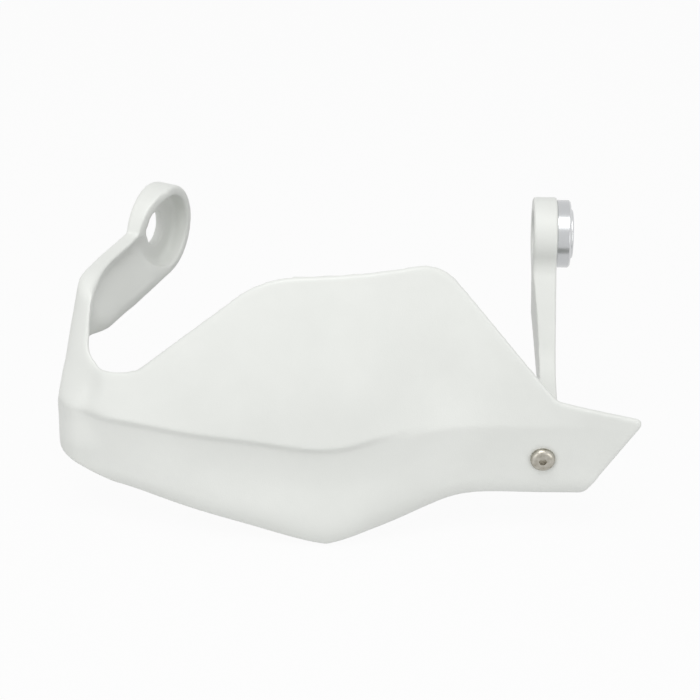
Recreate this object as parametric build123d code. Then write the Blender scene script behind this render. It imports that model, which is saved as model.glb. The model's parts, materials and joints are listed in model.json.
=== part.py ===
from build123d import *
import math
import os

# Motorcycle hand guard, one side: a moulded shield with its outer arm, and the inner stay that carries it.
# Millimetres. X runs along the handlebar towards the middle of the machine, Y points back to the rider, Z is up.
# The origin is on the bar axis, at the middle of the eye on the shield's arm.

# Shield, as seen from in front
TIP_X = 287.0
TIP_Z = -53.0
TONGUE_ROOT_X = 238.0
TONGUE_ROOT_Z = -42.0
TONGUE_FOOT_X = 255.0
TONGUE_FOOT_Z = -102.0
WAIST_X = 184.0
PROW_X = 110.0
PROW_Z = -126.0
HEEL_X = -12.0
HEEL_Z = -99.0
CORNER_FOOT_X = -44.0
CORNER_FOOT_Z = -84.0
PANEL_TOP_Z = 32.0
SHOULDER_IN_X = 172.0
SHOULDER_OUT_X = 74.0
GAP_FLOOR_Z = -29.0
GAP_IN_X = 3.0
GAP_OUT_X = -31.0
GAP_R = 11.0
GAP_IN_R = 14.0
SHOULDER_IN_R = 28.0
SHOULDER_OUT_R = 60.0
SHOULDER_DROP = 4.0
TONGUE_ROOT_R = 8.0
TONGUE_FOOT_R = 6.0
TIP_R = 3.0
WAIST_R = 60.0
PROW_R = 9.0
HEEL_R = 16.0
CORNER_FOOT_R = 3.0

# Shield, as seen from above
REACH = 140.0
TONGUE_SETBACK = 14.0
TONGUE_FLAT_X = 205.0
SWEEP = 16.0
CORNER_X = -28.0
CORNER_RUN = 23.0
CORNER_R = 17.0
WALL = 3.4
TRIM = 6.0
STRIP_CLEAR = 1.5

# Rail along the foot of the shield
RAIL_END_X = 172.0
CREASE_PROW_Z = -68.0
CREASE_END_Z = -57.0
RAIL_BULGE = 7.0
CREASE_STEP = 3.6
CREASE_HEIGHT = 4.0
PANEL_LEAN = 0.30
CORNER_LEAN = 0.50
PANEL_CROWN = 0.8
LIP_HEIGHT = 7.0
LIP_TURN = 2.0

# Arm and its eye on the bar end
ARM_THICK = 9.0
ARM_TOP_Z = 8.0
ARM_FOOT_Z = -27.0
ARM_FOOT_R = 14.0
ARM_TOP_R = 42.0
EYE_R = 27.5
EYE_WEB = 6.0
EYE_RIM = 10.0
EYE_EDGE_R = 2.0
EYE_BORE_R = 10.0
CUP_R = 21.8
CUP_FLOOR_R = 3.0
SCOOP_WALL = 5.0
SCOOP_LIP = 3.0
SCOOP_R = 4.0
SHELF_RUN = 78.0
SHELF_FADE = 18.0
SHELF_R = 20.0
RIM_FALL_START = 3.0

# Screw joint in the tongue
SCREW_X = 231.0
SCREW_Z = -78.0
SCREW_R = 3.0
SCREW_LENGTH = 18.0
HEAD_R = 7.0
HEAD_HEIGHT = 3.6
HEAD_RIM = 0.8
SCREW_CHAMFER = 0.6
SOCKET_FLATS = 4.0
SOCKET_DEPTH = 2.4
SCREW_CLEAR = 0.5
SPOT_R = 8.0
SPOT_DEPTH = 0.6
PAD_R = 9.5
PAD_HEIGHT = 1.0

# Spring clip and its square nut
CLIP_SHEET = 0.8
CLIP_WIDTH = 13.0
CLIP_LEAF = 7.0
CLIP_EAR = 4.6
NUT_SIDE = 10.0
NUT_THICK = 5.0
NUT_CHAMFER = 0.5
FIT = 0.1

# Stay between the tongue and the bar
STAY_WIDTH = 18.0
STAY_DEPTH = 19.0
STAY_WAIST_DEPTH = 10.0
STAY_KNEE_Y = -52.0
STAY_KNEE_Z = -70.0
STAY_KNEE_R = 45.0
STAY_END_WALL = 3.0
POCKET_LENGTH = 17.0
STAY_NECK_R = 14.0
STAY_EDGE_R = 1.2
STAY_EYE_R = 21.5
STAY_EYE_LENGTH = 14.0
STAY_BORE_R = 14.0

# Collar and spacer ring in the stay's eye
FLANGE_R = 20.0
FLANGE_THICK = 8.0
HUB_LENGTH = 9.5
COLLAR_BORE_R = 8.5
COLLAR_RECESS_R = 14.6
COLLAR_RECESS_DEPTH = 3.0
COLLAR_CHAMFER = 1.0
RING_BORE_R = 10.4
RING_THICK = 4.6
RING_CHAMFER = 0.6

tongue_y = -REACH + TONGUE_SETBACK
seat_y = tongue_y + WALL + PAD_HEIGHT
head_y = tongue_y + SPOT_DEPTH


def blend(x, stops, eased=False):
    """Value at x between stops, which are (x, value) pairs in falling order of x, on straight or eased runs."""
    if x >= stops[0][0]:
        return stops[0][1]
    for (x_high, value_high), (x_low, value_low) in zip(stops, stops[1:]):
        if x >= x_low:
            share = (x - x_low) / (x_high - x_low)
            if eased:
                share = share**2 * (3 - 2 * share)
            return value_low + share * (value_high - value_low)
    return stops[-1][1]


def foot_line(x):
    """Y of the shield's outer face at its crease, as a plan curve over x."""
    if x >= TONGUE_FLAT_X:
        return tongue_y
    if x >= PROW_X:
        share = (x - PROW_X) / (TONGUE_FLAT_X - PROW_X)
        return -REACH + TONGUE_SETBACK * (3 * share**2 - 2 * share**3)
    share = (PROW_X - x) / (PROW_X - CORNER_X)
    return -REACH + SWEEP * share**2


def wall_section(x, crease, depth, bulge, lean, step, lip, top):
    """Closed upright section of the wall: the panel, the step of the crease, and the rail with its lip."""
    rise = top - crease
    ridge = CREASE_HEIGHT
    half = (rise + ridge) / 2
    outer = [
        (step - lean * rise, rise),
        (step - lean * half + PANEL_CROWN * step, half),
        (step - lean * ridge, ridge),
        (0, 0),
        (0.04 * bulge, -0.15 * depth),
        (0.32 * bulge, -0.42 * depth),
        (0.86 * bulge, -0.68 * depth),
        (bulge, LIP_HEIGHT - depth),
        (bulge - lip, -depth),
        (bulge - 3.5 * lip, -depth - TRIM),
    ]
    inner = []
    for index, (stand, height) in enumerate(outer):
        before = outer[max(index - 1, 0)]
        after = outer[min(index + 1, len(outer) - 1)]
        along = Vector(after[0] - before[0], after[1] - before[1]).normalized()
        inner.append((stand + along.Y * WALL, height - along.X * WALL))
    foot_y = foot_line(x)
    front = [Vector(x, foot_y - stand, crease + height) for stand, height in outer]
    back = [Vector(x, foot_y - stand, crease + height) for stand, height in inner]
    edges = [
        Spline(*front[:3]),
        Line(front[2], front[3]),
        Spline(*front[3:]),
        Line(front[-1], back[-1]),
        Spline(*reversed(back[3:])),
        Line(back[3], back[2]),
        Spline(*reversed(back[:3])),
        Line(back[0], front[0]),
    ]
    return Face(Wire(edges))


def shield_skin():
    """Thin wall of the shield's front, from past the tongue's tip out to the corner."""
    crease_stops = [(RAIL_END_X, CREASE_END_Z), (PROW_X, CREASE_PROW_Z), (CORNER_X, CREASE_END_Z)]
    foot_stops = [(WAIST_X, TONGUE_FOOT_Z), (PROW_X, PROW_Z), (HEEL_X, HEEL_Z)]
    bulge_stops = [
        (TONGUE_FLAT_X, 0.01 * RAIL_BULGE),
        (PROW_X, RAIL_BULGE),
        (CORNER_X, 0.01 * RAIL_BULGE),
    ]
    step_stops = [
        (RAIL_END_X, 0.01 * CREASE_STEP),
        (PROW_X, CREASE_STEP),
        (HEEL_X, CREASE_STEP),
        (CORNER_X, 0.01 * CREASE_STEP),
    ]
    lip_stops = [(HEEL_X, LIP_TURN), (CORNER_X, 0.01 * LIP_TURN)]
    lean_stops = [
        (TIP_X, 0.02),
        (SHOULDER_IN_X, PANEL_LEAN),
        (SHOULDER_OUT_X, PANEL_LEAN),
        (CORNER_X, CORNER_LEAN),
    ]
    top_stops = [(SHOULDER_OUT_X, PANEL_TOP_Z + TRIM), (CORNER_X, ARM_TOP_Z + TRIM)]
    inner_run = TIP_X + TRIM - TONGUE_FLAT_X
    stations = [TONGUE_FLAT_X + inner_run * share for share in (1.0, 0.65, 0.3, 0.0)]
    stations += [PROW_X + (TONGUE_FLAT_X - PROW_X) * share for share in (0.75, 0.5, 0.25, 0.0)]
    stations += [HEEL_X + (PROW_X - HEEL_X) * share for share in (0.75, 0.5, 0.25, 0.0)]
    stations += [CORNER_X]
    sections = []
    for x in stations:
        crease = blend(x, crease_stops)
        depth = crease - blend(x, foot_stops)
        bulge = blend(x, bulge_stops, True)
        lean = blend(x, lean_stops, True)
        step = blend(x, step_stops, True)
        lip = blend(x, lip_stops, True)
        sections.append(wall_section(x, crease, depth, bulge, lean, step, lip, blend(x, top_stops)))
    return loft(sections)


def arm_plan():
    """Outline in plan of the outer corner and the arm, with its front strip and the way the arm runs back."""
    slope = -2 * SWEEP / (PROW_X - CORNER_X)
    front = Vector(CORNER_X, foot_line(CORNER_X))
    front_way = Vector(-1, -slope).normalized()
    corner = front + front_way * CORNER_RUN
    eye_side = Vector(-EYE_WEB / 2, 0)
    way = (eye_side - corner).normalized()
    inward = Vector(way.Y, -way.X)
    inner_front = front + Vector(0, WALL)
    inner_corner = Line(inner_front, inner_front + front_way * CORNER_RUN).intersect(
        Line(corner + inward * ARM_THICK - way * CORNER_RUN, eye_side + inward * ARM_THICK)
    )
    inner_corner = Vector(*inner_corner.vertices()[0])
    inner_end = eye_side + inward * ARM_THICK
    outer = FilletPolyline(front, corner, eye_side, radius=CORNER_R)
    inner = FilletPolyline(inner_front, inner_corner, inner_end, radius=CORNER_R - ARM_THICK)
    face = make_face([outer, Line(eye_side, inner_end), inner, Line(inner_front, front)])
    behind = Vector(0, WALL + STRIP_CLEAR)
    before = Vector(0, -CORNER_RUN)
    far = front_way * (2 * CORNER_RUN)
    near = front - front_way * CORNER_RUN
    corners = [near + behind, near + before, far + front + before, far + front + behind]
    strip = make_face(Polyline(*corners, close=True))
    return face, strip, way


def eye_turn():
    """Angle in plan from X to the eye's axis, which stands square to the arm."""
    way = arm_plan()[2]
    return math.degrees(math.atan2(way.X, way.Y))


def arm_section(way):
    """Upright plane across the arm at its eye: its x runs inward from the outer face, its normal to the corner."""
    return Plane(origin=(-EYE_WEB / 2, 0, 0), x_dir=(way.Y, -way.X, 0), z_dir=(-way.X, -way.Y, 0))


def arm_level(way):
    """Level plane at the eye's middle: its x runs inward from the arm's outer face, its y along the arm."""
    section = arm_section(way)
    return Plane(origin=section.origin, x_dir=section.x_dir, z_dir=(0, 0, -1))


def arm_shelf(way):
    """Broad foot of the arm, as wide as the eye's rim, fading into the arm's wall towards the corner."""
    wide = EYE_WEB + EYE_RIM
    plan = FilletPolyline(
        (SCOOP_WALL, 0),
        (wide, 0),
        (wide, SHELF_RUN),
        (SCOOP_WALL, SHELF_RUN + SHELF_FADE),
        radius=[0, 0, SHELF_R, 0],
        close=True,
    )
    return extrude(arm_level(way) * make_face(plan), amount=-ARM_FOOT_Z)


def rim_fall(way):
    """Wedge that takes the cup's rim down from its top to the width of the arm's lip."""
    high = EYE_WEB + 2 * EYE_RIM
    fall = EYE_RIM + EYE_WEB - ARM_THICK
    end = (ARM_THICK, EYE_R)
    plan = Polyline((ARM_THICK + fall, RIM_FALL_START), end, (high, EYE_R), (high, RIM_FALL_START), close=True)
    return extrude(arm_level(way) * make_face(plan), amount=-2 * EYE_R)


def arm_scoop(way):
    """Hollow of the arm's inner side: deep under the top lip, sloping out to the shelf, and open into the cup."""
    far = 2 * (EYE_WEB + EYE_RIM)
    profile = FilletPolyline(
        (far, -CUP_R),
        (EYE_WEB + EYE_RIM, -CUP_R),
        (SCOOP_WALL, 0),
        (SCOOP_WALL, ARM_TOP_Z + SCOOP_LIP),
        (far, ARM_TOP_Z + SCOOP_LIP),
        radius=[0, 0, SCOOP_R, 0, 0],
        close=True,
    )
    return extrude(arm_section(way) * make_face(profile), amount=REACH)


def corner_and_arm():
    """Outer corner of the shield and the arm, leaning back above the crease along the arm's own way."""
    plan, strip, way = arm_plan()
    rise = ARM_TOP_Z - CREASE_END_Z
    slope = 2 * SWEEP / (PROW_X - CORNER_X)
    lean = CORNER_LEAN / (way.Y + slope * way.X)
    slant = Vector(way.X * lean, way.Y * lean, 1)
    fall = CREASE_END_Z - HEEL_Z
    body = Pos(0, 0, CREASE_END_Z - fall) * extrude(plan, amount=fall)
    body += extrude(Pos(0, 0, CREASE_END_Z) * plan, amount=rise * slant.length, dir=slant)
    gap_far_x = CORNER_X + CORNER_RUN
    gap = FilletPolyline(
        (GAP_OUT_X, GAP_FLOOR_Z),
        (gap_far_x, GAP_FLOOR_Z),
        (gap_far_x, ARM_TOP_Z + TRIM),
        (GAP_OUT_X, ARM_TOP_Z + TRIM),
        radius=[GAP_R, 0, 0, 0],
        close=True,
    )
    gap_prism = extrude(Plane.XZ * make_face(gap), amount=2 * REACH, both=True)
    strip_prism = extrude(Pos(0, 0, CREASE_END_Z) * strip, amount=(rise + TRIM) * slant.length, dir=slant)
    body -= gap_prism & strip_prism
    heel_y = foot_line(CORNER_X) + CORNER_R
    front_y = foot_line(CORNER_X) - FIT
    side = FilletPolyline(
        (heel_y, HEEL_Z - TRIM),
        (heel_y + CORNER_LEAN * (ARM_FOOT_Z - CREASE_END_Z), ARM_FOOT_Z),
        (0, ARM_FOOT_Z),
        (0, ARM_TOP_Z),
        (front_y + CORNER_LEAN * rise, ARM_TOP_Z),
        (front_y, CREASE_END_Z),
        (front_y, HEEL_Z - TRIM),
        radius=[0, ARM_FOOT_R, 0, 0, ARM_TOP_R, 0, 0],
        close=True,
    )
    keep = extrude(Plane.YZ * make_face(side), amount=REACH, both=True)
    body &= keep
    inner_keep = Pos(0, WALL + STRIP_CLEAR, -SCOOP_LIP) * keep
    body += arm_shelf(way) & inner_keep
    eye_way = Rot(0, 0, -eye_turn()) * Rot(0, 90, 0)
    body += eye_way * Pos(0, 0, EYE_RIM / 2) * fillet(Cylinder(EYE_R, EYE_WEB + EYE_RIM).edges(), EYE_EDGE_R)
    body -= rim_fall(way)
    body -= arm_scoop(way) & inner_keep
    cup = fillet(Cylinder(CUP_R, 2 * EYE_RIM).edges().sort_by(Axis.Z)[0], CUP_FLOOR_R)
    body -= eye_way * Pos(0, 0, EYE_WEB / 2 + EYE_RIM) * cup
    return body - eye_way * Cylinder(EYE_BORE_R, 4 * EYE_WEB)


def front_outline():
    """Front outline of the shield with the gap between its panel and its arm, as a prism along Y."""
    outside_x = CORNER_X - 3 * CORNER_R
    points = [
        (TIP_X, TIP_Z),
        (TONGUE_FOOT_X, TONGUE_FOOT_Z),
        (WAIST_X, TONGUE_FOOT_Z),
        (PROW_X, PROW_Z),
        (HEEL_X, HEEL_Z),
        (CORNER_FOOT_X, CORNER_FOOT_Z),
        (outside_x, CORNER_FOOT_Z),
        (outside_x, ARM_TOP_Z),
        (GAP_OUT_X, ARM_TOP_Z),
        (GAP_OUT_X, GAP_FLOOR_Z),
        (GAP_IN_X, GAP_FLOOR_Z),
        (SHOULDER_OUT_X, PANEL_TOP_Z - SHOULDER_DROP),
        (SHOULDER_IN_X, PANEL_TOP_Z),
        (TONGUE_ROOT_X, TONGUE_ROOT_Z),
    ]
    radii = [TIP_R, TONGUE_FOOT_R, WAIST_R, PROW_R, HEEL_R, CORNER_FOOT_R, 0, 0, 0]
    radii += [GAP_R, GAP_IN_R, SHOULDER_OUT_R, SHOULDER_IN_R, TONGUE_ROOT_R]
    edge = FilletPolyline(*points, radius=radii, close=True)
    sketch = Plane.XZ * make_face(edge)
    return extrude(sketch, amount=2 * REACH, both=True)


def shield():
    """Moulded shield: skin, arm, eye, screw pad and holes in one piece."""
    outline = front_outline()
    body = shield_skin() & outline
    foot = FilletPolyline(
        (PROW_X, PROW_Z),
        (HEEL_X, HEEL_Z),
        (CORNER_FOOT_X, CORNER_FOOT_Z),
        (CORNER_X - 3 * CORNER_R, CORNER_FOOT_Z),
        (CORNER_X - 3 * CORNER_R, 2 * PROW_Z),
        (PROW_X, 2 * PROW_Z),
        radius=[0, HEEL_R, CORNER_FOOT_R, 0, 0, 0],
        close=True,
    )
    under = extrude(Plane.XZ * make_face(foot), amount=2 * REACH, both=True)
    body += corner_and_arm() - under
    screw_way = Pos(SCREW_X, 0, SCREW_Z) * Rot(90, 0, 0)
    pad_length = seat_y - tongue_y - WALL / 2
    body += screw_way * Pos(0, 0, -seat_y + pad_length / 2) * Cylinder(PAD_R, pad_length)
    body -= screw_way * Pos(0, 0, -tongue_y) * Cylinder(SCREW_R + SCREW_CLEAR, 8 * WALL)
    body -= screw_way * Pos(0, 0, -head_y + WALL) * Cylinder(SPOT_R, 2 * WALL)
    return body


def stay():
    """Moulded stay from the back of the tongue up to an eye on the bar, hollow where the clip slides on."""
    knee = Vector(STAY_KNEE_Y, STAY_KNEE_Z)
    foot = Vector(seat_y, SCREW_Z)
    start = foot + (foot - knee).normalized() * STAY_WIDTH
    run = FilletPolyline(start, knee, (0, 0), radius=STAY_KNEE_R)
    side = trace(run, STAY_WIDTH) + Circle(STAY_EYE_R)
    necks = [corner for corner in side.vertices() if abs(Vector(*corner).length - STAY_EYE_R) < FIT]
    side = fillet(necks, STAY_NECK_R)
    back_x = SCREW_X + STAY_DEPTH / 2
    end_x = back_x - STAY_DEPTH
    body = extrude(Plane.YZ.offset(back_x) * side, amount=-STAY_DEPTH)
    waist = (back_x - STAY_WAIST_DEPTH, (seat_y - STAY_EYE_R) / 2)
    shoulder = (back_x - STAY_EYE_LENGTH, -STAY_EYE_R)
    behind = (back_x - STAY_EYE_LENGTH, REACH)
    plan = make_face(
        [
            ThreePointArc((end_x, seat_y), waist, shoulder),
            Polyline(shoulder, behind, (back_x + FIT, REACH), (back_x + FIT, seat_y), (end_x, seat_y)),
        ]
    )
    body &= extrude(plan, amount=REACH, both=True)
    rounded = [edge for edge in body.faces().sort_by(Axis.X)[-1].edges() if edge.center().Y > seat_y + FIT]
    body = fillet(rounded, STAY_EDGE_R)
    rim = [edge for edge in body.edges().filter_by(GeomType.CIRCLE) if edge.center().X < end_x + STAY_DEPTH / 2]
    body = fillet([edge for edge in rim if edge.center().Y > -STAY_EYE_R], STAY_EDGE_R)
    body -= Pos(back_x, 0, 0) * Rot(0, 90, 0) * Cylinder(STAY_BORE_R, 3 * STAY_DEPTH)
    pocket_reach = STAY_DEPTH + CLIP_LEAF
    pocket_high = CLIP_WIDTH + 2 * FIT
    pocket = Pos(SCREW_X + CLIP_LEAF + FIT - pocket_reach / 2, 0, SCREW_Z)
    body -= pocket * Pos(0, seat_y + STAY_END_WALL + POCKET_LENGTH / 2, 0) * Box(
        pocket_reach, POCKET_LENGTH, pocket_high
    )
    sheet = CLIP_SHEET + FIT
    body -= pocket * Pos(0, seat_y, 0) * Box(pocket_reach, 2 * sheet, pocket_high)
    body -= Pos(end_x, seat_y, SCREW_Z) * Box(2 * sheet, 3 * STAY_END_WALL, pocket_high)
    body -= Pos(SCREW_X, seat_y, SCREW_Z) * Rot(90, 0, 0) * Cylinder(SCREW_R + SCREW_CLEAR, 4 * STAY_END_WALL)
    return body


def spring_clip():
    """Folded spring-steel clip that slides on the stay's end wall, with ears that cage the square nut."""
    edge_x = SCREW_X - STAY_DEPTH / 2
    front_y = seat_y + FIT
    back_y = seat_y + STAY_END_WALL
    far_x = SCREW_X + CLIP_LEAF
    leaf = far_x - edge_x
    body = Pos(far_x - leaf / 2, front_y + CLIP_SHEET / 2, SCREW_Z) * Box(leaf, CLIP_SHEET, CLIP_WIDTH)
    body += Pos(far_x - leaf / 2, back_y + CLIP_SHEET / 2, SCREW_Z) * Box(leaf, CLIP_SHEET, CLIP_WIDTH)
    bridge = back_y + CLIP_SHEET - front_y
    body += Pos(edge_x + CLIP_SHEET / 2, front_y + bridge / 2, SCREW_Z) * Box(CLIP_SHEET, bridge, CLIP_WIDTH)
    ear_z = NUT_SIDE / 2 + FIT + CLIP_SHEET / 2
    for side in (-1, 1):
        ear = Pos(SCREW_X, back_y + CLIP_SHEET + CLIP_EAR / 2, SCREW_Z + side * ear_z)
        body += ear * Box(NUT_SIDE, CLIP_EAR, CLIP_SHEET)
    body -= Pos(SCREW_X, seat_y, SCREW_Z) * Rot(90, 0, 0) * Cylinder(SCREW_R + SCREW_CLEAR, 4 * STAY_END_WALL)
    return body


def square_nut():
    """Square nut held by the clip's ears, with its flat face on the clip."""
    middle_y = seat_y + STAY_END_WALL + CLIP_SHEET + NUT_THICK / 2
    place = Pos(SCREW_X, middle_y, SCREW_Z)
    body = chamfer((place * Box(NUT_SIDE, NUT_THICK, NUT_SIDE)).edges().filter_by(Axis.Y), NUT_CHAMFER)
    return body - place * Rot(90, 0, 0) * Cylinder(SCREW_R + FIT, 2 * NUT_THICK)


def screw():
    """Button-head screw through the tongue, the clip and the stay's end wall into the square nut."""
    dome = fillet(Cylinder(HEAD_R, HEAD_HEIGHT).edges().group_by(Axis.Z)[-1], HEAD_HEIGHT - HEAD_RIM)
    head = Pos(0, 0, HEAD_HEIGHT / 2) * dome
    shank = Pos(0, 0, -SCREW_LENGTH / 2) * chamfer(
        Cylinder(SCREW_R, SCREW_LENGTH).edges().group_by(Axis.Z)[0], SCREW_CHAMFER
    )
    socket = extrude(
        Pos(0, 0, HEAD_HEIGHT - SOCKET_DEPTH) * RegularPolygon(SOCKET_FLATS / 2, 6, major_radius=False),
        amount=2 * SOCKET_DEPTH,
    )
    return Pos(SCREW_X, head_y, SCREW_Z) * Rot(90, 0, 0) * (head + shank - socket)


def flanged_collar():
    """Turned collar in the stay's eye: flange against the eye's face, hub in its bore, recess for the ring."""
    face_x = SCREW_X + STAY_DEPTH / 2
    rim = FLANGE_THICK - COLLAR_CHAMFER
    floor = FLANGE_THICK - COLLAR_RECESS_DEPTH
    hub_r = STAY_BORE_R - FIT
    profile = Polyline(
        (COLLAR_BORE_R, -HUB_LENGTH),
        (hub_r - COLLAR_CHAMFER, -HUB_LENGTH),
        (hub_r, -HUB_LENGTH + COLLAR_CHAMFER),
        (hub_r, 0),
        (FLANGE_R, 0),
        (FLANGE_R, rim),
        (FLANGE_R - COLLAR_CHAMFER, FLANGE_THICK),
        (COLLAR_RECESS_R, FLANGE_THICK),
        (COLLAR_RECESS_R, floor),
        (COLLAR_BORE_R + COLLAR_CHAMFER, floor),
        (COLLAR_BORE_R, floor - COLLAR_CHAMFER),
        close=True,
    )
    body = revolve(Plane.XZ * make_face(profile), Axis.Z)
    return Pos(face_x, 0, 0) * Rot(0, 90, 0) * body


def spacer_ring():
    """Turned spacer ring lying in the collar's recess."""
    floor_x = SCREW_X + STAY_DEPTH / 2 + FLANGE_THICK - COLLAR_RECESS_DEPTH
    outer_r = COLLAR_RECESS_R - FIT
    ring = Cylinder(outer_r, RING_THICK) - Cylinder(RING_BORE_R, RING_THICK)
    ring = chamfer(ring.edges(), RING_CHAMFER)
    return Pos(floor_x + RING_THICK / 2, 0, 0) * Rot(0, 90, 0) * ring


pieces = {
    "shield": shield(),
    "stay": stay(),
    "spring_clip": spring_clip(),
    "square_nut": square_nut(),
    "screw": screw(),
    "flanged_collar": flanged_collar(),
    "spacer_ring": spacer_ring(),
}
os.makedirs("parts", exist_ok=True)
for name, solid in pieces.items():
    export_step(solid, f"parts/{name}.step")
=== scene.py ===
import json
import math

import bmesh
import bpy
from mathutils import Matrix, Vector


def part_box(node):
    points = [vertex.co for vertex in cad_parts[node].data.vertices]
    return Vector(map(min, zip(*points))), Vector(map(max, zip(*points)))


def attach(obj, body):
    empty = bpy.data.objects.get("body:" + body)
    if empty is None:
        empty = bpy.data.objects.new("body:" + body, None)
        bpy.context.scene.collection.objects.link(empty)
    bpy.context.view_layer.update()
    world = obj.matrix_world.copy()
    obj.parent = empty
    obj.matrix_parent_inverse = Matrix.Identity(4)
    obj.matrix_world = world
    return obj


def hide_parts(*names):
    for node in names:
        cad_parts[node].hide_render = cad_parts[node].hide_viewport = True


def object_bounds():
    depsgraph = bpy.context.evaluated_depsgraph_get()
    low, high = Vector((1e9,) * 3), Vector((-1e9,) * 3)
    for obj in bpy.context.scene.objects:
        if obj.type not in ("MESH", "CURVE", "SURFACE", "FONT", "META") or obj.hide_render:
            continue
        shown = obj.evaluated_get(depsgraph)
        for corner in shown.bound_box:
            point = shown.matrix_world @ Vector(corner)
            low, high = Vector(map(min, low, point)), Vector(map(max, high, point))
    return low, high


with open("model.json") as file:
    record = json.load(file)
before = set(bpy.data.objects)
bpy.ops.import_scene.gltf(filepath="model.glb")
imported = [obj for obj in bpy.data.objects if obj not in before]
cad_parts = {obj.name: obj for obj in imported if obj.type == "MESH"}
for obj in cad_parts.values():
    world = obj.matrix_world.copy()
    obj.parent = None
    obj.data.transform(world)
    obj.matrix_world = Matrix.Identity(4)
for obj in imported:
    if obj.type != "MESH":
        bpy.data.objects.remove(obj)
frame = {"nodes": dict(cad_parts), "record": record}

cad_low, cad_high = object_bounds()
nodes = frame["nodes"]

# Shield: the wind shield with its arm and eye, one injection moulding in off-white plastic.
# Its edges are rounded by the mould, and its skin has the fine satin grain of an etched cavity.
# The eye is bolted to the end of the bar, and the tongue is screwed to the stay.
SHIELD_DEEP = (0.755, 0.77, 0.74, 1.0)
SHIELD_PALE = (0.80, 0.815, 0.785, 1.0)
SHIELD_ROUGHNESS = (0.40, 0.50)
CLOUD_SIZE = 0.055
GRAIN_SIZE = 0.0007
GRAIN_HEIGHT = 0.0002
GRAIN_STRENGTH = 0.25
PLASTIC_IOR = 1.5
NOISE_LOW = 0.3
NOISE_HIGH = 0.7


def add_link(tree, from_node, from_socket, to_node, to_socket):
    """Join one node's output to another's input."""
    tree.links.new(from_node.outputs[from_socket], to_node.inputs[to_socket])


def new_finish(name, metallic):
    """New material, with its node tree, its shader and its object coordinates."""
    material = bpy.data.materials.new(name)
    material.use_nodes = True
    tree = material.node_tree
    shader = tree.nodes["Principled BSDF"]
    shader.inputs["Metallic"].default_value = metallic
    place = tree.nodes.new("ShaderNodeTexCoord")
    return material, tree, shader, place


def add_noise(tree, place, size, detail):
    """Cloudy pattern whose patches are about as large as the size."""
    noise = tree.nodes.new("ShaderNodeTexNoise")
    noise.inputs["Scale"].default_value = 1.0 / size
    noise.inputs["Detail"].default_value = detail
    add_link(tree, place, "Object", noise, "Vector")
    return noise


def add_ramp(tree, pattern, low, high):
    """Ramp between two colours over the range that a noise mostly takes."""
    ramp = tree.nodes.new("ShaderNodeValToRGB")
    first, last = ramp.color_ramp.elements
    first.position = NOISE_LOW
    first.color = low
    last.position = NOISE_HIGH
    last.color = high
    add_link(tree, pattern, "Fac", ramp, "Fac")
    return ramp


def add_film(tree, pattern, shader, deep, pale, roughness):
    """Colour and roughness that both follow a pattern."""
    tint = add_ramp(tree, pattern, deep, pale)
    add_link(tree, tint, "Color", shader, "Base Color")
    smooth, rough = roughness
    gloss = add_ramp(tree, pattern, (smooth, smooth, smooth, 1.0), (rough, rough, rough, 1.0))
    add_link(tree, gloss, "Color", shader, "Roughness")


def add_bump(tree, pattern, shader, strength, height):
    """Fine relief that follows a pattern."""
    bump = tree.nodes.new("ShaderNodeBump")
    bump.inputs["Strength"].default_value = strength
    bump.inputs["Distance"].default_value = height
    add_link(tree, pattern, "Fac", bump, "Height")
    add_link(tree, bump, "Normal", shader, "Normal")


plastic, tree, shader, place = new_finish("satin_moulded_plastic", metallic=0.0)
clouds = add_noise(tree, place, CLOUD_SIZE, detail=3.0)
add_film(tree, clouds, shader, SHIELD_DEEP, SHIELD_PALE, SHIELD_ROUGHNESS)
grain = add_noise(tree, place, GRAIN_SIZE, detail=2.0)
add_bump(tree, grain, shader, GRAIN_STRENGTH, GRAIN_HEIGHT)
shader.inputs["IOR"].default_value = PLASTIC_IOR

WELD = 0.00001
WEIGHTED = "weighted"
ARM_SIDE_X = 0.030


def pass_through(shape, kind, **settings):
    """Run a bmesh through one modifier."""
    mesh = bpy.data.meshes.new("draft")
    shape.to_mesh(mesh)
    draft = bpy.data.objects.new("draft", mesh)
    bpy.context.scene.collection.objects.link(draft)
    draft.vertex_groups.new(name=WEIGHTED)
    modifier = draft.modifiers.new("draft", kind)
    for name, value in settings.items():
        setattr(modifier, name, value)
    made = bpy.data.meshes.new_from_object(draft.evaluated_get(bpy.context.evaluated_depsgraph_get()))
    shape.clear()
    shape.from_mesh(made)
    bpy.data.objects.remove(draft)
    bpy.data.meshes.remove(mesh)
    bpy.data.meshes.remove(made)


def copy_node(node_name):
    """Bmesh copy of a CAD node, with its triangles merged into one skin."""
    shape = bmesh.new()
    shape.from_mesh(nodes[node_name].data)
    bmesh.ops.remove_doubles(shape, verts=shape.verts, dist=WELD)
    return shape


def even_skin(node_name, cell):
    """Bmesh copy of a CAD node with an even skin of small cells."""
    shape = copy_node(node_name)
    pass_through(shape, "REMESH", mode="VOXEL", voxel_size=cell)
    return shape


def thin_out(shape, limit):
    """Merge the skin's cells where it is flat, down to a number of triangles."""
    triangles = sum(len(face.verts) - 2 for face in shape.faces)
    pass_through(shape, "DECIMATE", ratio=min(limit / triangles, 1.0))


def soften(shape, passes):
    """Round the whole skin, the more the more passes it gets."""
    pass_through(shape, "SMOOTH", factor=1.0, iterations=passes)


def soften_part(shape, passes, weigh):
    """Round the part of the skin on the arm's side whose points get a weight."""
    weights = shape.verts.layers.deform.new()
    for vert in shape.verts:
        if vert.co.x < ARM_SIDE_X:
            weight = weigh(vert)
            if weight > 0.0:
                vert[weights][0] = weight
    pass_through(shape, "SMOOTH", factor=1.0, iterations=passes, vertex_group=WEIGHTED)
    shape.verts.layers.deform.remove(shape.verts.layers.deform.active)


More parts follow.
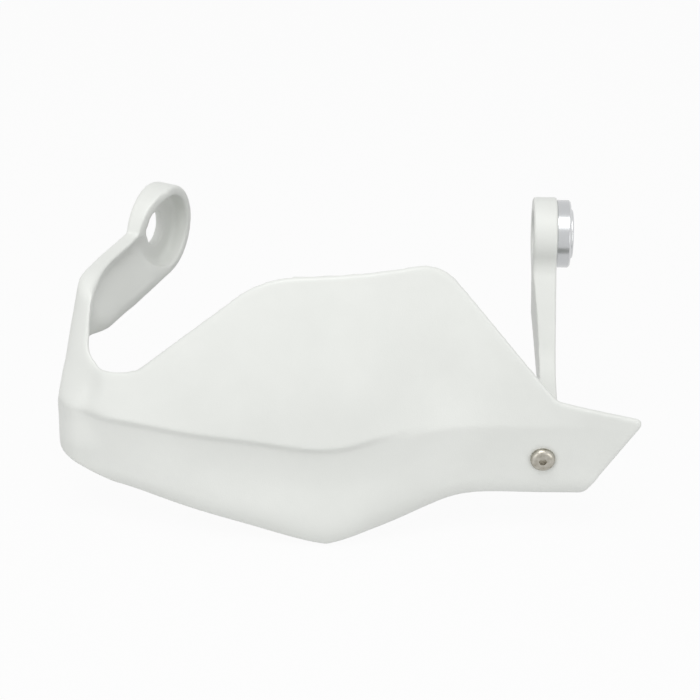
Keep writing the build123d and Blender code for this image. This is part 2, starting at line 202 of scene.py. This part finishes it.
def add_piece(shape, piece_name, node_name, material, hard_angle=math.pi):
    """Finished piece that stands for a CAD node, smooth but for edges sharper than the hard angle."""
    for face in shape.faces:
        face.smooth = True
    for edge in shape.edges:
        edge.smooth = edge.calc_face_angle(0.0) < hard_angle
    mesh = bpy.data.meshes.new(piece_name)
    shape.to_mesh(mesh)
    shape.free()
    mesh.materials.append(material)
    piece = bpy.data.objects.new(piece_name, mesh)
    bpy.context.scene.collection.objects.link(piece)
    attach(piece, "root")
    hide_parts(node_name)


def eased(value, start, end):
    """Share that goes from 0 at start to 1 at end, gently at both ends."""
    share = min(max((value - start) / (end - start), 0.0), 1.0)
    return share * share * (3.0 - 2.0 * share)


eye_axis = Vector(frame["record"]["mounts"][0]["axis"])
arm_way = Vector((-eye_axis.y, eye_axis.x, 0.0))
ARM_OUTER = Vector((-0.003, 0.0, 0.0))
ARM_TOP_Z = 0.008
ARM_BEND_R = 0.042
BEND_Y = -0.0656
BEND_Z = ARM_TOP_Z - ARM_BEND_R
CREASE_Z = -0.057
FRONT_Y = -0.1241
FRONT_LEAN = 0.5
FRONT_WAY = Vector((0.974, -0.226, 0.0))


def depth_behind_edge(y, z):
    """Distance of a point from the arm's leaning front and its top, seen from the side."""
    if y > BEND_Y:
        return ARM_TOP_Z - z
    if (y - BEND_Y) * FRONT_LEAN + (z - BEND_Z) < 0.0:
        return (y - FRONT_Y - FRONT_LEAN * (z - CREASE_Z)) / math.hypot(1.0, FRONT_LEAN)
    return ARM_BEND_R - math.hypot(y - BEND_Y, z - BEND_Z)


# The arm's strip is widened by a step that fades out. Each pair says where it is nothing and where whole.
STRIP_GAIN = 0.0065
STRIP_OUTER_INSET = (0.0, 0.009)
STRIP_INNER_INSET = (0.040, 0.014)
STRIP_DEPTH = (0.016, 0.006)
STRIP_RISE_Z = (CREASE_Z, -0.038)
STRIP_FORWARD_Y = (-0.050, -0.104)
# Above the straight part the strip's inner edge is held back to a lip, which grows wider to the front.
STRIP_REACH = 0.020
STRAIGHT_Z = -0.0145
LIP_Y = -0.092
LIP_INSET = 0.0145
LIP_SLOPE = 0.38


def widen_strip(point):
    """How far the flat front strip of the arm reaches further in at a point."""
    inset = (point - ARM_OUTER).dot(eye_axis)
    gain = eased(inset, *STRIP_OUTER_INSET) * eased(inset, *STRIP_INNER_INSET)
    gain *= eased(depth_behind_edge(point.y, point.z), *STRIP_DEPTH)
    gain *= eased(point.z, *STRIP_RISE_Z) * eased(point.y, *STRIP_FORWARD_Y)
    step = STRIP_GAIN * gain
    if point.y < BEND_Y and point.z > STRAIGHT_Z and inset < STRIP_REACH:
        step = min(step, LIP_INSET + LIP_SLOPE * max(LIP_Y - point.y, 0.0) - inset)
    return FRONT_WAY * step


# The groove fades out by like pairs: above and below the crease, inward and to the rear.
CORNER_AXIS = Vector((-0.0273, -0.1067, 0.0))
GROOVE_DEPTH = 0.0025
GROOVE_ABOVE = (0.005, 0.0)
GROOVE_BELOW = (-0.022, 0.0)
GROOVE_OUTWARD_X = (-0.012, -0.028)
GROOVE_FORWARD_Y = (-0.106, -0.113)


def groove_corner(point):
    """How far the crease's groove is pressed in at a point as it runs on round the outer corner."""
    height = point.z - CREASE_Z
    press = eased(height, *GROOVE_ABOVE) * eased(height, *GROOVE_BELOW)
    press *= eased(point.x, *GROOVE_OUTWARD_X) * eased(point.y, *GROOVE_FORWARD_Y)
    away = Vector((point.x - CORNER_AXIS.x, point.y - CORNER_AXIS.y, 0.0))
    if away.dot(FRONT_WAY) > 0.0:
        inward = Vector((-FRONT_WAY.y, FRONT_WAY.x, 0.0))
    elif away.dot(arm_way) > 0.0:
        inward = eye_axis
    else:
        inward = -away.normalized()
    return inward * (GROOVE_DEPTH * press)


BOX_FADE = (1.0, 0.5)


def fade_box(point, low, high):
    """Weight that is 1 in the middle half of a box and fades to 0 at its sides."""
    weight = 1.0
    for side, value, far_side in zip(low, point, high):
        weight *= eased(abs(2.0 * value - side - far_side) / (far_side - side), *BOX_FADE)
    return weight


JOINT_BOX = ((-0.050, -0.134, -0.058), (-0.006, -0.090, -0.026))
JOINT_FACING = (-0.1, -0.5)
JOINT_PASSES = 90


def weigh_joint(vert):
    """Front of the joint between the arm and the panel."""
    return fade_box(vert.co, *JOINT_BOX) * eased(vert.normal.y, *JOINT_FACING)


GAP_CORNER_BOX = ((-0.044, -0.136, -0.044), (0.002, -0.088, -0.010))
GAP_CORNER_PASSES = 140


def weigh_gap_corner(vert):
    """Outer corner of the gap's floor."""
    return fade_box(vert.co, *GAP_CORNER_BOX)


STRIP_BOX = ((-0.054, -0.124, -0.042), (-0.004, -0.054, 0.018))
STRIP_FACING = (0.0, 0.4)
STRIP_PASSES = 80


def weigh_strip(vert):
    """Front and top of the arm's strip."""
    return fade_box(vert.co, *STRIP_BOX) * eased(vert.normal.z, *STRIP_FACING)


ARM_INSIDE_BOX = ((-0.052, -0.118, -0.046), (0.008, -0.048, 0.014))
ARM_INSIDE_FACING = (0.2, 0.6)
ARM_INSIDE_PASSES = 90


def weigh_arm_inside(vert):
    """Inner face of the arm."""
    return fade_box(vert.co, *ARM_INSIDE_BOX) * eased(vert.normal.dot(eye_axis), *ARM_INSIDE_FACING)


CUP_INNER_R = (0.011, 0.015)
CUP_OUTER_R = (0.034, 0.027)
CUP_FORWARD = (0.0, -0.006)
CUP_RISE_Z = (-0.027, -0.020)
CUP_FACING = (0.1, 0.4)
CUP_MOUTH_PASSES = 180


def weigh_cup_mouth(vert):
    """Mouth of the eye's cup on the arm's side."""
    radius = (vert.co - eye_axis * vert.co.dot(eye_axis)).length
    weight = eased(radius, *CUP_INNER_R) * eased(radius, *CUP_OUTER_R)
    weight *= eased(vert.co.dot(arm_way), *CUP_FORWARD) * eased(vert.co.z, *CUP_RISE_Z)
    return weight * eased(vert.normal.dot(eye_axis), *CUP_FACING)


SHIELD_CELL = 0.00065
SHIELD_SKIN_PASSES = 4
SHIELD_EDGE_PASSES = 9
SHIELD_TRIANGLES = 190000
shape = even_skin("shield", SHIELD_CELL)
for vert in shape.verts:
    if vert.co.x < ARM_SIDE_X:
        vert.co += widen_strip(vert.co) + groove_corner(vert.co)
soften(shape, SHIELD_SKIN_PASSES)
soften_part(shape, JOINT_PASSES, weigh_joint)
soften_part(shape, GAP_CORNER_PASSES, weigh_gap_corner)
soften_part(shape, STRIP_PASSES, weigh_strip)
soften_part(shape, ARM_INSIDE_PASSES, weigh_arm_inside)
soften_part(shape, CUP_MOUTH_PASSES, weigh_cup_mouth)
soften(shape, SHIELD_EDGE_PASSES)
thin_out(shape, SHIELD_TRIANGLES)
add_piece(shape, "moulded_shield", "shield", plastic)

# Stay: the bent bracket from the tongue to the handlebar, moulded in the same plastic.
# A pocket at its foot takes the clip and nut, and the eye at its top holds the collar.
STAY_CELL = 0.0005
STAY_EDGE_PASSES = 6
shape = even_skin("stay", STAY_CELL)
soften(shape, STAY_EDGE_PASSES)
add_piece(shape, "moulded_stay", "stay", plastic)

# Spring clip: a strip of dark oiled spring steel, cut and folded over the stay's end wall.
# Its ears cage the square nut, and the sheared edges are tumbled smooth.
OIL_DEEP = (0.075, 0.068, 0.055, 1.0)
OIL_PALE = (0.16, 0.15, 0.13, 1.0)
OIL_ROUGHNESS = (0.32, 0.48)
OIL_SIZE = 0.004
CLIP_BREAK = 0.00015
FLAT_ANGLE = math.radians(1.0)
BREAK_ANGLE = math.radians(30.0)
SMOOTH_ANGLE = math.radians(12.0)
spring_steel, tree, shader, place = new_finish("oiled_spring_steel", metallic=1.0)
oil = add_noise(tree, place, OIL_SIZE, detail=4.0)
add_film(tree, oil, shader, OIL_DEEP, OIL_PALE, OIL_ROUGHNESS)


def break_edges(shape, size):
    """Bevel the hard edges of a shape by a small size."""
    hard = [edge for edge in shape.edges if edge.calc_face_angle(0.0) > BREAK_ANGLE]
    bmesh.ops.bevel(
        shape, geom=hard, offset=size, offset_type="OFFSET", segments=2, profile=0.5,
        affect="EDGES", clamp_overlap=True, material=-1,
    )


def flat_sided(node_name, size):
    """Bmesh copy of a flat-sided CAD node with its edges broken."""
    shape = copy_node(node_name)
    bmesh.ops.dissolve_limit(shape, angle_limit=FLAT_ANGLE, verts=shape.verts, edges=shape.edges)
    break_edges(shape, size)
    return shape


shape = flat_sided("spring_clip", CLIP_BREAK)
add_piece(shape, "folded_spring_clip", "spring_clip", spring_steel, SMOOTH_ANGLE)

# Square nut and screw: plated steel, a little yellow and clouded, the nut pressed and the thread rolled.
# The button-head screw goes through the tongue, clip and stay, and its thread comes out of the nut.
PLATING_DEEP = (0.33, 0.31, 0.26, 1.0)
PLATING_PALE = (0.52, 0.50, 0.45, 1.0)
PLATING_ROUGHNESS = (0.25, 0.40)
PLATING_SIZE = 0.003
NUT_BREAK = 0.00025
plated_steel, tree, shader, place = new_finish("plated_steel", metallic=1.0)
plating = add_noise(tree, place, PLATING_SIZE, detail=4.0)
add_film(tree, plating, shader, PLATING_DEEP, PLATING_PALE, PLATING_ROUGHNESS)
shape = flat_sided("square_nut", NUT_BREAK)
add_piece(shape, "pressed_square_nut", "square_nut", plated_steel, SMOOTH_ANGLE)

# One turn of the thread from crest to crest, as shares of its pitch and of its depth.
THREAD_PROFILE = ((0.0, 0.0), (0.15, 0.0), (0.45, 1.0), (0.7, 1.0), (1.0, 0.0))
THREAD_PITCH = 0.001
THREAD_DEPTH = 0.0006
THREAD_STEPS = 48
THREAD_INSIDE_NUT = 0.0012
THREAD_RUNOUT = 0.0003
THREAD_LEAD = 1.1 * THREAD_PITCH
SHANK_R = 0.003
TIP_CHAMFER = 0.0006
low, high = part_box("screw")
screw_axis = Vector(((low.x + high.x) / 2, 0.0, (low.z + high.z) / 2))
tip_y = high.y
rim_y = tip_y - 2.0 * TIP_CHAMFER
shank_end_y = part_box("square_nut")[1].y - THREAD_INSIDE_NUT
first_y = shank_end_y - THREAD_LEAD
turns = math.ceil((tip_y - first_y) / THREAD_PITCH) + 1


def cut_off(shape, y, past):
    """Take away what lies past a plane across the Y axis, or before it."""
    bmesh.ops.bisect_plane(
        shape, geom=shape.verts[:] + shape.edges[:] + shape.faces[:], dist=WELD / 10,
        plane_co=(0.0, y, 0.0), plane_no=(0.0, 1.0, 0.0), clear_outer=past, clear_inner=not past,
    )


def thread_corner(along, depth):
    """Corner of the thread's first turn, right above the screw's axis."""
    return screw_axis + Vector((0.0, first_y + along * THREAD_PITCH, SHANK_R - depth * THREAD_DEPTH))


thread = bmesh.new()
verts = [thread.verts.new(thread_corner(along, depth)) for along, depth in THREAD_PROFILE]
edges = [thread.edges.new(pair) for pair in zip(verts, verts[1:])]
bmesh.ops.spin(
    thread, geom=verts + edges, cent=screw_axis, axis=(0.0, 1.0, 0.0), angle=2.0 * math.pi * turns,
    steps=THREAD_STEPS * turns, dvec=(0.0, THREAD_PITCH / THREAD_STEPS, 0.0),
)
bmesh.ops.remove_doubles(thread, verts=thread.verts, dist=WELD)
cut_off(thread, shank_end_y + THREAD_RUNOUT, False)
cut_off(thread, tip_y - TIP_CHAMFER, True)
rim = [edge for edge in thread.edges if edge.is_boundary and edge.verts[0].co.y > rim_y]
tip = bmesh.ops.extrude_edge_only(thread, edges=rim)["geom"]
tip_verts = [item for item in tip if isinstance(item, bmesh.types.BMVert)]
tip_edges = [item for item in tip if isinstance(item, bmesh.types.BMEdge)]
for vert in tip_verts:
    across = vert.co - screw_axis
    across.y = 0.0
    across.length = min(across.length, SHANK_R - TIP_CHAMFER)
    vert.co = screw_axis + across + Vector((0.0, tip_y, 0.0))
bmesh.ops.holes_fill(thread, edges=tip_edges, sides=0)
thread_mesh = bpy.data.meshes.new("thread")
thread.to_mesh(thread_mesh)
thread.free()
shape = copy_node("screw")
cut_off(shape, shank_end_y, True)
shape.from_mesh(thread_mesh)
bpy.data.meshes.remove(thread_mesh)
bmesh.ops.bridge_loops(shape, edges=[edge for edge in shape.edges if edge.is_boundary])
bmesh.ops.recalc_face_normals(shape, faces=shape.faces)
add_piece(shape, "threaded_screw", "screw", plated_steel, BREAK_ANGLE)

# Flanged collar and spacer ring: turned from aluminium bar, with fine rings left by the tool.
# The collar's hub sits in the stay's eye, and the ring lies in the recess of its flange.
ALUMINIUM_DEEP = (0.54, 0.55, 0.56, 1.0)
ALUMINIUM_PALE = (0.72, 0.725, 0.73, 1.0)
ALUMINIUM_ROUGHNESS = (0.22, 0.34)
TURNING_PITCH = 0.0006
TURNING_HEIGHT = 0.0001
TURNING_STRENGTH = 0.15
turned_aluminium, tree, shader, place = new_finish("turned_aluminium", metallic=1.0)
off_axis = tree.nodes.new("ShaderNodeVectorMath")
off_axis.operation = "MULTIPLY"
off_axis.inputs[1].default_value = (0.0, 1.0, 1.0)
add_link(tree, place, "Object", off_axis, 0)
radius = tree.nodes.new("ShaderNodeVectorMath")
radius.operation = "LENGTH"
add_link(tree, off_axis, "Vector", radius, 0)
rings = tree.nodes.new("ShaderNodeTexNoise")
rings.noise_dimensions = "1D"
rings.inputs["Scale"].default_value = 1.0 / TURNING_PITCH
rings.inputs["Detail"].default_value = 2.0
add_link(tree, radius, "Value", rings, "W")
add_film(tree, rings, shader, ALUMINIUM_DEEP, ALUMINIUM_PALE, ALUMINIUM_ROUGHNESS)
add_bump(tree, rings, shader, TURNING_STRENGTH, TURNING_HEIGHT)
TURNED_STEPS = 128
TURNED_BREAK = 0.0002


def turned(profile):
    """Bmesh of a ring turned about the X axis from its closed profile of (x, radius) corners."""
    shape = bmesh.new()
    verts = [shape.verts.new((x, 0.0, radius)) for x, radius in profile]
    edges = [shape.edges.new((verts[index - 1], verts[index])) for index in range(len(verts))]
    bmesh.ops.spin(
        shape, geom=verts + edges, cent=(0.0, 0.0, 0.0), axis=(1.0, 0.0, 0.0),
        angle=2.0 * math.pi, steps=TURNED_STEPS, use_merge=True,
    )
    bmesh.ops.recalc_face_normals(shape, faces=shape.faces)
    break_edges(shape, TURNED_BREAK)
    return shape


HUB_LENGTH = 0.0095
HUB_R = 0.0139
COLLAR_BORE_R = 0.0085
RECESS_R = 0.0146
RECESS_DEPTH = 0.003
COLLAR_CHAMFER = 0.001
low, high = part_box("flanged_collar")
face_x = low.x + HUB_LENGTH
floor_x = high.x - RECESS_DEPTH
shape = turned([
    (low.x, COLLAR_BORE_R),
    (low.x, HUB_R - COLLAR_CHAMFER),
    (low.x + COLLAR_CHAMFER, HUB_R),
    (face_x, HUB_R),
    (face_x, high.z),
    (high.x - COLLAR_CHAMFER, high.z),
    (high.x, high.z - COLLAR_CHAMFER),
    (high.x, RECESS_R),
    (floor_x, RECESS_R),
    (floor_x, COLLAR_BORE_R + COLLAR_CHAMFER),
    (floor_x - COLLAR_CHAMFER, COLLAR_BORE_R),
])
add_piece(shape, "turned_collar", "flanged_collar", turned_aluminium, SMOOTH_ANGLE)

RING_BORE_R = 0.0104
RING_CHAMFER = 0.0006
low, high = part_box("spacer_ring")
shape = turned([
    (low.x, RING_BORE_R + RING_CHAMFER),
    (low.x, high.z - RING_CHAMFER),
    (low.x + RING_CHAMFER, high.z),
    (high.x - RING_CHAMFER, high.z),
    (high.x, high.z - RING_CHAMFER),
    (high.x, RING_BORE_R + RING_CHAMFER),
    (high.x - RING_CHAMFER, RING_BORE_R),
    (low.x + RING_CHAMFER, RING_BORE_R),
])
add_piece(shape, "turned_ring", "spacer_ring", turned_aluminium, SMOOTH_ANGLE)

# Floor: a plain sheet of studio paper, laid just under the shield's foot.
# It shows nearly white to the camera and in polished metal, with a faint shadow of the object.
FLOOR_SIZE = 6.0
FLOOR_GAP = 0.0005
WHITE = (1.0, 1.0, 1.0, 1.0)
PAPER_GREY = (0.62, 0.62, 0.62, 1.0)
PAPER_ROUGHNESS = 0.9
PAPER_GLOW = 0.94
floor_mesh = bpy.data.meshes.new("studio_floor")
shape = bmesh.new()
bmesh.ops.create_grid(shape, x_segments=1, y_segments=1, size=FLOOR_SIZE / 2)
bmesh.ops.translate(shape, verts=shape.verts, vec=(0.0, 0.0, cad_low.z - FLOOR_GAP))
shape.to_mesh(floor_mesh)
shape.free()
floor = bpy.data.objects.new("studio_floor", floor_mesh)
bpy.context.scene.collection.objects.link(floor)


def seen_or_mirrored(tree):
    """Node that is 1 for rays from the camera, off a mirroring surface or through a clear one, else 0."""
    ray = tree.nodes.new("ShaderNodeLightPath")
    mirrored = tree.nodes.new("ShaderNodeMath")
    mirrored.operation = "MAXIMUM"
    add_link(tree, ray, "Is Glossy Ray", mirrored, 0)
    add_link(tree, ray, "Is Transmission Ray", mirrored, 1)
    either = tree.nodes.new("ShaderNodeMath")
    either.operation = "MAXIMUM"
    add_link(tree, ray, "Is Camera Ray", either, 0)
    add_link(tree, mirrored, "Value", either, 1)
    return either


paper = bpy.data.materials.new("white_paper")
paper.use_nodes = True
tree = paper.node_tree
shader = tree.nodes["Principled BSDF"]
shader.inputs["Base Color"].default_value = PAPER_GREY
shader.inputs["Roughness"].default_value = PAPER_ROUGHNESS
glow = tree.nodes.new("ShaderNodeEmission")
glow.inputs["Color"].default_value = WHITE
glow.inputs["Strength"].default_value = 1.0
glow_share = tree.nodes.new("ShaderNodeMath")
glow_share.operation = "MULTIPLY"
glow_share.inputs[1].default_value = PAPER_GLOW
add_link(tree, seen_or_mirrored(tree), "Value", glow_share, 0)
mix = tree.nodes.new("ShaderNodeMixShader")
add_link(tree, glow_share, "Value", mix, "Fac")
add_link(tree, shader, "BSDF", mix, 1)
add_link(tree, glow, "Emission", mix, 2)
add_link(tree, mix, "Shader", tree.nodes["Material Output"], "Surface")
floor_mesh.materials.append(paper)

# Studio light: a pale room that lights the object evenly from all sides, and looks white.
# One broad soft box hangs above and a little in front, and a weak one stands low on each side.
ROOM_LIGHT = 0.525
SOFT_BOXES = (
    ("soft_box_key", Vector((-0.15, -0.45, 1.2)), 0.9, 8.2),
    ("soft_box_left", Vector((-0.8, -0.95, 0.2)), 0.7, 2.1),
    ("soft_box_right", Vector((0.9, -0.9, 0.25)), 0.7, 2.65),
)
world = bpy.data.worlds.new("white_room")
bpy.context.scene.world = world
world.use_nodes = True
tree = world.node_tree
room = tree.nodes["Background"]
room.inputs["Color"].default_value = WHITE
room.inputs["Strength"].default_value = ROOM_LIGHT
bright = tree.nodes.new("ShaderNodeBackground")
bright.inputs["Color"].default_value = WHITE
bright.inputs["Strength"].default_value = 1.0
mix = tree.nodes.new("ShaderNodeMixShader")
add_link(tree, seen_or_mirrored(tree), "Value", mix, "Fac")
add_link(tree, room, "Background", mix, 1)
add_link(tree, bright, "Background", mix, 2)
add_link(tree, mix, "Shader", tree.nodes["World Output"], "Surface")

centre = (cad_low + cad_high) / 2
for name, offset, size, power in SOFT_BOXES:
    lamp = bpy.data.lights.new(name, "AREA")
    lamp.size = size
    lamp.energy = power
    light = bpy.data.objects.new(name, lamp)
    light.location = centre + offset
    light.rotation_euler = (-offset).to_track_quat("-Z", "Y").to_euler()
    bpy.context.scene.collection.objects.link(light)

# Camera: stands in front of the shield and looks down on it, as on a table.
# A long lens keeps the shield's far arm in proportion.
CAMERA_ELEVATION = math.radians(30.0)
CAMERA_AZIMUTH = math.radians(2.0)
CAMERA_DISTANCE = 1.3
CAMERA_SENSOR = 36.0
CAMERA_LENS = 115.0
camera_data = bpy.data.cameras.new("camera")
camera = bpy.data.objects.new("camera", camera_data)
back = Vector((
    math.sin(CAMERA_AZIMUTH) * math.cos(CAMERA_ELEVATION),
    -math.cos(CAMERA_AZIMUTH) * math.cos(CAMERA_ELEVATION),
    math.sin(CAMERA_ELEVATION),
))
camera.location = centre + back * CAMERA_DISTANCE
camera.rotation_euler = (-back).to_track_quat("-Z", "Y").to_euler()
camera_data.sensor_width = CAMERA_SENSOR
camera_data.lens = CAMERA_LENS
bpy.context.scene.collection.objects.link(camera)
bpy.context.scene.camera = camera
bpy.context.scene.view_settings.view_transform = "Standard"
